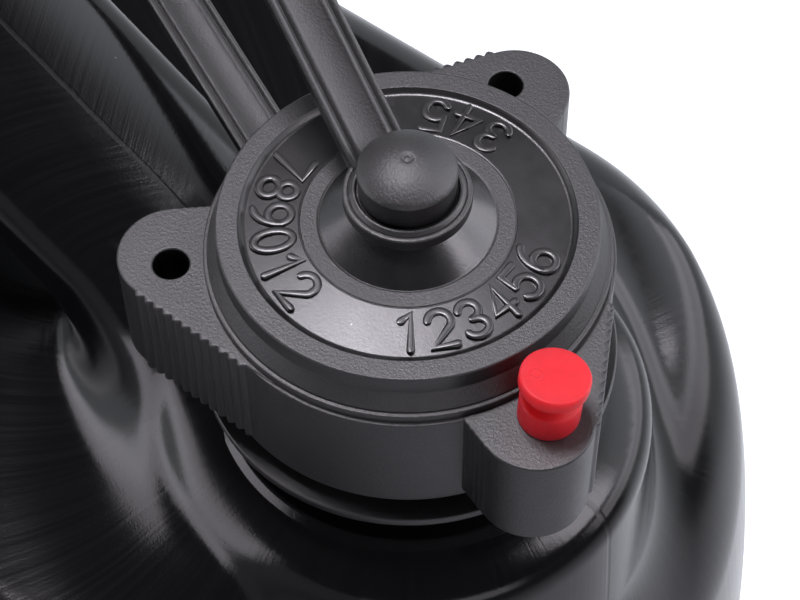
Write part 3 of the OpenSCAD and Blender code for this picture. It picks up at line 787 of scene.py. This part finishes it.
def buildStrap(material):
    s = tetherStrap
    section = bandSection()
    turn = math.radians(s["turn"])
    away, across = Vector((math.cos(turn), math.sin(turn), 0)), Vector((-math.sin(turn), math.cos(turn), 0))
    verts, faces = [], []
    path = strapPath()
    for r, z, heading in path:
        centre = Vector((neckX, 0, z)) + away * r
        normal = Vector((0, 0, math.cos(heading))) - away * math.sin(heading)
        verts += [tuple(centre + normal * t + across * w) for t, w in section]
    n = len(section)
    for i in range(len(path) - 1):
        for j in range(n):
            k = (j + 1) % n
            faces.append((n * i + j, n * i + k, n * i + n + k, n * i + n + j))
    faces.append(tuple(range(n)))
    faces.append(tuple(range(len(verts) - n, len(verts))))
    eyeR, holeR = (eyeHigh.x - eyeLow.x) / 2, screwCap["stemR"] + 0.3 * mm
    bead = eyeHigh.z + s["eyeBead"]
    eye = softCorners([
        (holeR, eyeLow.z), (eyeR, eyeLow.z, 0.5 * mm), (eyeR, eyeHigh.z, 0.35 * mm),
        (eyeR - 0.75 * mm, eyeHigh.z, 0.1 * mm), (eyeR - 0.85 * mm, eyeHigh.z - 0.35 * mm, 0.1 * mm),
        (eyeR - 1.0 * mm, eyeHigh.z, 0.1 * mm), (eyeR - 1.5 * mm, bead, 0.5 * mm),
        (screwCap["knobR"] + 0.25 * mm, bead, 0.3 * mm),
        (screwCap["knobR"] + 0.1 * mm, eyeHigh.z, 0.1 * mm),
        (holeR, eyeHigh.z), (holeR, eyeLow.z)])
    ringR, seatR = (ringHigh.x - ringLow.x) / 2, canNeck["seatR"] + s["ringSeatPlay"]
    ringTop = ringLow.z + (ringHigh.z - ringLow.z) * s["ringShare"]
    ring = softCorners([
        (seatR, ringLow.z), (ringR, ringLow.z, 0.5 * mm), (ringR, ringTop, 0.35 * mm),
        (seatR, ringTop, 0.3 * mm), (seatR, ringLow.z)])
    whole = joinParts((verts, faces), lathe(eye, neckX), lathe(ring, neckX))
    strap = makePiece("tether_strap", *whole, material)
    print("strap swept", len(path), "sections")
    return strap


# Indicator peg
indicatorPeg = {
    "headR": 5.4 * mm, "flangeR": 4.8 * mm, "waistR": 3.4 * mm, "height": 9.8 * mm, "headT": 2.2 * mm,
    "flangeT": 4.6 * mm, "shankR": 2.82 * mm, "shankL": 13 * mm, "lean": 0.9 * mm, "leanTurn": 80,
    "gateR": 0.8 * mm, "gateOff": (-2.2 * mm, -0.9 * mm),
}


def buildPeg(material):
    s = indicatorPeg
    seat = pegHigh.z - s["height"]
    top = s["height"]
    profile = softCorners([
        (0, top), (s["headR"], top, 0.4 * mm), (s["headR"], top - s["headT"], 0.4 * mm),
        (s["waistR"], top - s["headT"] - 0.4 * mm, 0.5 * mm),
        (s["waistR"], s["flangeT"] + 0.4 * mm, 0.5 * mm),
        (s["flangeR"], s["flangeT"], 0.4 * mm), (s["flangeR"], 0, 0.3 * mm), (s["shankR"], 0, 0.1 * mm),
        (s["shankR"], -s["shankL"] + 1 * mm, 0.4 * mm), (s["shankR"] - 0.5 * mm, -s["shankL"], 0.2 * mm),
        (0, -s["shankL"])])
    verts, faces = lathe(profile, segments=120)
    side = Vector((math.cos(math.radians(s["leanTurn"])), math.sin(math.radians(s["leanTurn"])), 0))
    bent = []
    for x, y, z in verts:
        rise = max(0, z / top)
        lean = s["lean"] * rise ** 1.4  # the soft head leans, and its sections tilt with it
        tilt = 1.4 * s["lean"] / top * rise ** 0.4 * min(1, rise * 3)
        drop = tilt * (x * side.x + y * side.y)
        bent.append((pegX + x + side.x * lean, pegY + y + side.y * lean, seat + z - drop))
    peg = makePiece("peg_pin", bent, faces, material)
    print("peg turned")
    return peg


# Finishes
canFinish = {
    "colour": (0.004, 0.004, 0.0046, 1), "roughness": 0.15, "streakRise": 0.028 * mm, "seamHalf": 0.7 * mm,
    "seamDepth": 0.035 * mm,
}


def canPlastic():
    s = canFinish
    material, tree, shader = newFinish("black blow-moulded plastic")
    place, x, y, z = partPlace(tree)
    dx = calc(tree, "SUBTRACT", x, neckX)
    angle = calc(tree, "ARCTAN2", y, dx)
    far = fromAxis(tree, dx, y)
    # streaks fan out from the neck, and run across the handle
    fan = combine(tree, calc(tree, "MULTIPLY", angle, 60), calc(tree, "MULTIPLY", far, 14),
                  calc(tree, "MULTIPLY", z, 14))
    side = calc(tree, "ABSOLUTE", y)
    slant = calc(tree, "MULTIPLY_ADD", side, 0.5, x)
    cross = combine(tree, calc(tree, "MULTIPLY", slant, 1100), calc(tree, "MULTIPLY", y, 25),
                    calc(tree, "MULTIPLY", z, 60))
    high = ramp(tree, z, deckZ + 16 * mm, deckZ + 30 * mm)
    behind = ramp(tree, x, neckX - 46 * mm, neckX - 58 * mm)
    onHandle = calc(tree, "MULTIPLY", high, behind)
    fanStreak = noise(tree, fan, 1.0, 5, 0.62)
    crossStreak = noise(tree, cross, 1.0, 4, 0.6)
    streak = addNode(tree, "ShaderNodeMix", {0: onHandle, 2: fanStreak, 3: crossStreak}).outputs[0]
    waves = noise(tree, place, 45, 2)
    grain = noise(tree, place, 2600, 2)
    seamWander = calc(tree, "MULTIPLY_ADD", noise(tree, place, 120, 2), 0.8 * mm, -0.4 * mm)
    seamAt = calc(tree, "ABSOLUTE", calc(tree, "ADD", y, seamWander))
    seam = ramp(tree, seamAt, s["seamHalf"], 0.1 * mm)
    dust = dustSpecks(tree, place, 260, 0.02, 0.07)
    tint = ramp(tree, streak, 0.35, 0.75)
    base = blendColour(tree, tint, s["colour"], (0.006, 0.0058, 0.0065, 1))
    put(shader.inputs["Base Color"], blendColour(tree, dust, base, (0.2, 0.2, 0.2, 1)), tree)
    rough = calc(tree, "MULTIPLY_ADD", streak, 0.12, s["roughness"] - 0.06)
    put(shader.inputs["Roughness"], calc(tree, "MULTIPLY_ADD", seam, 0.1, rough), tree)
    wavy = bumpUp(tree, waves, 0.5 * mm, 0.1)
    streaky = bumpUp(tree, streak, s["streakRise"], 1.0, wavy)
    grainy = bumpUp(tree, grain, 0.012 * mm, 1.0, streaky)
    groove = calc(tree, "MULTIPLY", seam, -1)
    put(shader.inputs["Normal"], bumpUp(tree, groove, s["seamDepth"], 1.0, grainy), tree)
    shader.inputs["IOR"].default_value = 1.5
    return material


capFinish = {
    "colour": (0.006, 0.0058, 0.0065, 1), "worn": (0.009, 0.0086, 0.0096, 1), "roughness": 0.44,
    "grainRise": 0.06 * mm, "grainScale": 4200,
}
strapFinish = {**capFinish, "roughness": 0.4, "grainRise": 0.055 * mm}


def grainPlastic(name, s, smoothRing=None):
    material, tree, shader = newFinish(name)
    place, x, y, z = partPlace(tree)
    grain = noise(tree, place, s["grainScale"], 4, 0.6)
    cloud = noise(tree, place, 90, 4, 0.6)
    smear = noise(tree, place, 320, 3)
    cells = addNode(tree, "ShaderNodeTexVoronoi", {"Vector": place, "Scale": s["grainScale"] * 0.45})
    dust = dustSpecks(tree, place, 330, 0.03, 0.06)
    form = addNode(tree, "ShaderNodeNewGeometry")
    edge = form.outputs["Pointiness"]
    facing = addNode(tree, "ShaderNodeSeparateXYZ", {0: form.outputs["Normal"]})
    level = calc(tree, "ABSOLUTE", facing.outputs[2])
    # convex edges, found by their pointiness, are painted paler in patches
    paleEdges = calc(tree, "MULTIPLY", ramp(tree, edge, 0.53, 0.62), ramp(tree, smear, 0.35, 0.65))
    base = blendColour(tree, ramp(tree, cloud, 0.3, 0.75), s["colour"], s["worn"])
    base = blendColour(tree, calc(tree, "MULTIPLY", paleEdges, 0.5), base, (0.05, 0.049, 0.052, 1))
    put(shader.inputs["Base Color"], blendColour(tree, dust, base, (0.35, 0.35, 0.35, 1)), tree)
    rough = calc(tree, "MULTIPLY_ADD", cloud, 0.16, s["roughness"] - 0.08)
    rough = calc(tree, "MULTIPLY_ADD", smear, 0.08, rough)
    rough = calc(tree, "ADD", rough, ramp(tree, level, 0.15, 0.6, -0.13, 0.0))  # upright faces are glossier
    height = calc(tree, "MULTIPLY_ADD", cells.outputs["Distance"], 0.5, grain)
    if smoothRing:  # the dish of the cap is smoother than the rest
        dx = calc(tree, "SUBTRACT", x, neckX)
        far = fromAxis(tree, dx, y)
        within = calc(tree, "MULTIPLY", ramp(tree, far, smoothRing[0], smoothRing[0] + 0.3 * mm),
                      ramp(tree, far, smoothRing[1], smoothRing[1] - 0.3 * mm))
        low = ramp(tree, z, faceZ + screwCap["hubTop"] + 0.6 * mm, faceZ + screwCap["hubTop"] + 0.2 * mm)
        onCrown = ramp(tree, far, screwCap["crownR"] + 0.2 * mm, screwCap["crownR"])
        crown = calc(tree, "MULTIPLY", onCrown, low)
        within = calc(tree, "ADD", within, crown)
        rough = calc(tree, "MULTIPLY_ADD", within, -0.14, rough)
        rough = calc(tree, "MULTIPLY_ADD", crown, -0.08, rough)
        height = calc(tree, "MULTIPLY", height, calc(tree, "MULTIPLY_ADD", within, -0.8, 1))
    put(shader.inputs["Roughness"], rough, tree)
    put(shader.inputs["Normal"], bumpUp(tree, height, s["grainRise"], 1.0), tree)
    shader.inputs["IOR"].default_value = 1.54
    shader.inputs["Specular IOR Level"].default_value = 1.0
    return material


def pegPlastic():
    material, tree, shader = newFinish("red peg plastic")
    place, x, y, z = partPlace(tree)
    cloud = noise(tree, place, 260, 4, 0.6)
    grain = noise(tree, place, 3200, 2)
    scuff = noise(tree, combine(tree, calc(tree, "MULTIPLY", x, 4), y, z), 900, 3)
    base = blendColour(tree, ramp(tree, cloud, 0.3, 0.7), (0.8, 0.018, 0.03, 1), (0.86, 0.026, 0.04, 1))
    put(shader.inputs["Base Color"], base, tree)
    put(shader.inputs["Roughness"], calc(tree, "MULTIPLY_ADD", scuff, 0.2, 0.38), tree)
    s = indicatorPeg
    gateX = calc(tree, "SUBTRACT", x, pegX + s["gateOff"][0])
    gateY = calc(tree, "SUBTRACT", y, pegY + s["gateOff"][1])
    gateFar = fromAxis(tree, gateX, gateY)
    ring = calc(tree, "ABSOLUTE", calc(tree, "SUBTRACT", gateFar, s["gateR"]))
    onTop = ramp(tree, z, pegHigh.z - 1.4 * mm, pegHigh.z - 1 * mm)
    gate = calc(tree, "MULTIPLY", ramp(tree, ring, 0.3 * mm, 0.1 * mm), onTop)
    fine = bumpUp(tree, scuff, 0.03 * mm, 0.6)
    marked = bumpUp(tree, gate, 0.12 * mm, 0.8, fine)
    put(shader.inputs["Normal"], bumpUp(tree, grain, 0.02 * mm, 0.8, marked), tree)
    shader.inputs["Subsurface Weight"].default_value = 1.0
    shader.inputs["Subsurface Radius"].default_value = (1, 0.15, 0.15)
    shader.inputs["Subsurface Scale"].default_value = 0.006
    shader.inputs["Specular IOR Level"].default_value = 0.4
    return material


def gasketRubber():
    material, tree, shader = newFinish("grey gasket rubber")
    place = partPlace(tree)[0]
    cloud = noise(tree, place, 200, 4, 0.6)
    base = blendColour(tree, cloud, (0.035, 0.035, 0.037, 1), (0.07, 0.07, 0.072, 1))
    put(shader.inputs["Base Color"], base, tree)
    put(shader.inputs["Roughness"], calc(tree, "MULTIPLY_ADD", cloud, 0.2, 0.55), tree)
    put(shader.inputs["Normal"], bumpUp(tree, noise(tree, place, 1500, 3), 0.05 * mm), tree)
    return material


canMaterial = canPlastic()
capMaterial = grainPlastic("black cap plastic", capFinish, (screwCap["lineR"], screwCap["rimInR"]))
strapMaterial = grainPlastic("black strap plastic", strapFinish)
pegMaterial = pegPlastic()
print("finishes ready")

# Pieces
shell = buildCanShell(canMaterial)
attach(shell, "can")
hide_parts("can_body")
neck = buildNeck(canMaterial)
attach(neck, "can")
cap = buildCap(capMaterial)
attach(cap, "cap")
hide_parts("screw_cap")
numbers = buildNumbers(capMaterial)
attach(numbers, "cap")
peg = buildPeg(pegMaterial)
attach(peg, "peg")
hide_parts("indicator_peg")
strap = buildStrap(strapMaterial)
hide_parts("strap_eye", "strap_band", "strap_ring")
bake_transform(strap)
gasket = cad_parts["cap_gasket"]
gasket.data.materials.clear()
gasket.data.materials.append(gasketRubber())

# Studio
studio = {
    "floorHalf": 3.0, "wallH": 1.3, "wallBend": 0.6, "floorColour": (0.55, 0.56, 0.58, 1),
    "floorGlow": 0.85, "wallGlow": 1.12,
    "floorShine": 0.55, "shineFrom": -0.15, "shineTo": 0.08, "boxReach": 0.95, "worldLevel": 0.06,
    "worldShine": 1.7, "shineRise": 15, "shineTurn": 300,
}


def farSide():  # level direction from the camera to the can
    back = Vector(photoCamera["back"])
    return Vector((-back.x, -back.y, 0)).normalized()


def pointing(rise, turn):  # direction at a height angle, turned from the far side to the left
    rise, turn = math.radians(rise), math.radians(turn)
    away = farSide()
    level = away * math.cos(turn) + Vector((-away.y, away.x, 0)) * math.sin(turn)
    return level * math.cos(rise) + Vector((0, 0, math.sin(rise)))


def buildBackdrop():  # a round pale floor whose edge turns up into a wall
    s = studio
    profile = [(0, 0)] + [(s["floorHalf"] * k / 6, 0) for k in range(1, 6)]
    bend = s["wallBend"]
    profile += arcPoints(s["floorHalf"] - bend, bend, bend, bend, -90, 0, 10)
    profile += [(s["floorHalf"], s["wallH"])]
    material, tree, shader = newFinish("pale studio floor")
    shader.inputs["Base Color"].default_value = s["floorColour"]
    shader.inputs["Roughness"].default_value = 0.7
    path = addNode(tree, "ShaderNodeLightPath")
    away = farSide()
    x, y = partPlace(tree)[1:3]
    along = calc(tree, "MULTIPLY_ADD", x, away.x, calc(tree, "MULTIPLY", y, away.y))
    # the far side of the floor shines in the gloss
    bright = ramp(tree, along, s["shineFrom"], s["shineTo"], 0.0, s["floorShine"])
    shine = calc(tree, "MULTIPLY", path.outputs["Is Glossy Ray"], bright)
    white = ramp(tree, fromAxis(tree, x, y), 0.5, 1.0, s["floorGlow"], s["wallGlow"])
    seen = calc(tree, "MULTIPLY_ADD", path.outputs["Is Camera Ray"], white, shine)
    glow = addNode(tree, "ShaderNodeEmission", {"Color": (0.9, 0.95, 1, 1), "Strength": seen})
    both = addNode(tree, "ShaderNodeAddShader", {0: shader.outputs[0], 1: glow.outputs[0]})
    tree.links.new(both.outputs[0], tree.nodes["Material Output"].inputs["Surface"])
    backdrop = makePiece("studio_floor", *lathe(profile, 0, 0, 96), material, evenShade=False)
    if backdrop.data.polygons[0].normal.z < 0:
        backdrop.data.flip_normals()
    return backdrop


softboxes = (  # name, height angle, turn from the far side to the left, wide, high, radiance
    ("key softbox", 76, 35, 0.28, 0.28, 32.0),
    ("left strip", 12, 92, 0.95, 0.3, 2.4),
    ("right softbox", 42, 262, 0.4, 0.4, 4.8),
    ("right strip", 9, 283, 1.1, 0.42, 1.7),
    ("front strip", 8, 190, 1.0, 0.3, 1.2),
)


def buildLights():
    target = Vector((neckX, 0, faceZ))
    for name, rise, turn, wide, high, radiance in softboxes:
        lamp = bpy.data.lights.new(name, "AREA")
        lamp.shape, lamp.size, lamp.size_y = "RECTANGLE", wide, high
        lamp.energy = radiance * math.pi * wide * high
        lamp.color = (1, 0.95, 1.03)
        box = bpy.data.objects.new(name, lamp)
        box.location = target + pointing(rise, turn) * studio["boxReach"]
        box.rotation_mode = "QUATERNION"
        box.rotation_quaternion = (target - box.location).to_track_quat("-Z", "Y")
        box.visible_camera = False
        bpy.context.scene.collection.objects.link(box)
    world = bpy.data.worlds.new("studio air")
    world.use_nodes = True
    air = world.node_tree
    air.nodes["Background"].inputs["Color"].default_value = (0.9, 0.92, 1, 1)
    bright = pointing(studio["shineRise"], studio["shineTurn"])
    outward = addNode(air, "ShaderNodeTexCoord").outputs["Generated"]
    facing = addNode(air, "ShaderNodeVectorMath", {0: outward, 1: bright}, operation="DOT_PRODUCT")
    # the air is brighter to the far right
    level = ramp(air, facing.outputs["Value"], 0.68, 0.98, studio["worldLevel"], studio["worldShine"])
    put(air.nodes["Background"].inputs["Strength"], level, air)
    bpy.context.scene.world = world


# Camera at the photograph's place, as a position and its right, up and back directions
photoCamera = {
    "place": (0.24258, -0.16585, 0.71997), "lens": 101.63, "sensor": 36.0,
    "right": (0.790965, 0.61181, -0.007975), "up": (-0.498478, 0.651895, 0.571448),
    "back": (0.354816, -0.44802, 0.8206),
}


def buildCamera():
    s = photoCamera
    data = bpy.data.cameras.new("photo camera")
    data.lens = s["lens"]
    data.sensor_fit = "HORIZONTAL"
    data.sensor_width = s["sensor"]
    data.clip_start, data.clip_end = 0.01, 50
    camera = bpy.data.objects.new("photo camera", data)
    axes = Matrix((s["right"], s["up"], s["back"])).transposed()
    camera.rotation_mode = "QUATERNION"
    camera.rotation_quaternion = axes.to_quaternion()
    camera.location = s["place"]
    bpy.context.scene.collection.objects.link(camera)
    bpy.context.scene.camera = camera


buildBackdrop()
buildLights()
buildCamera()
bpy.context.scene.view_settings.view_transform = "Standard"
print("studio and camera set")
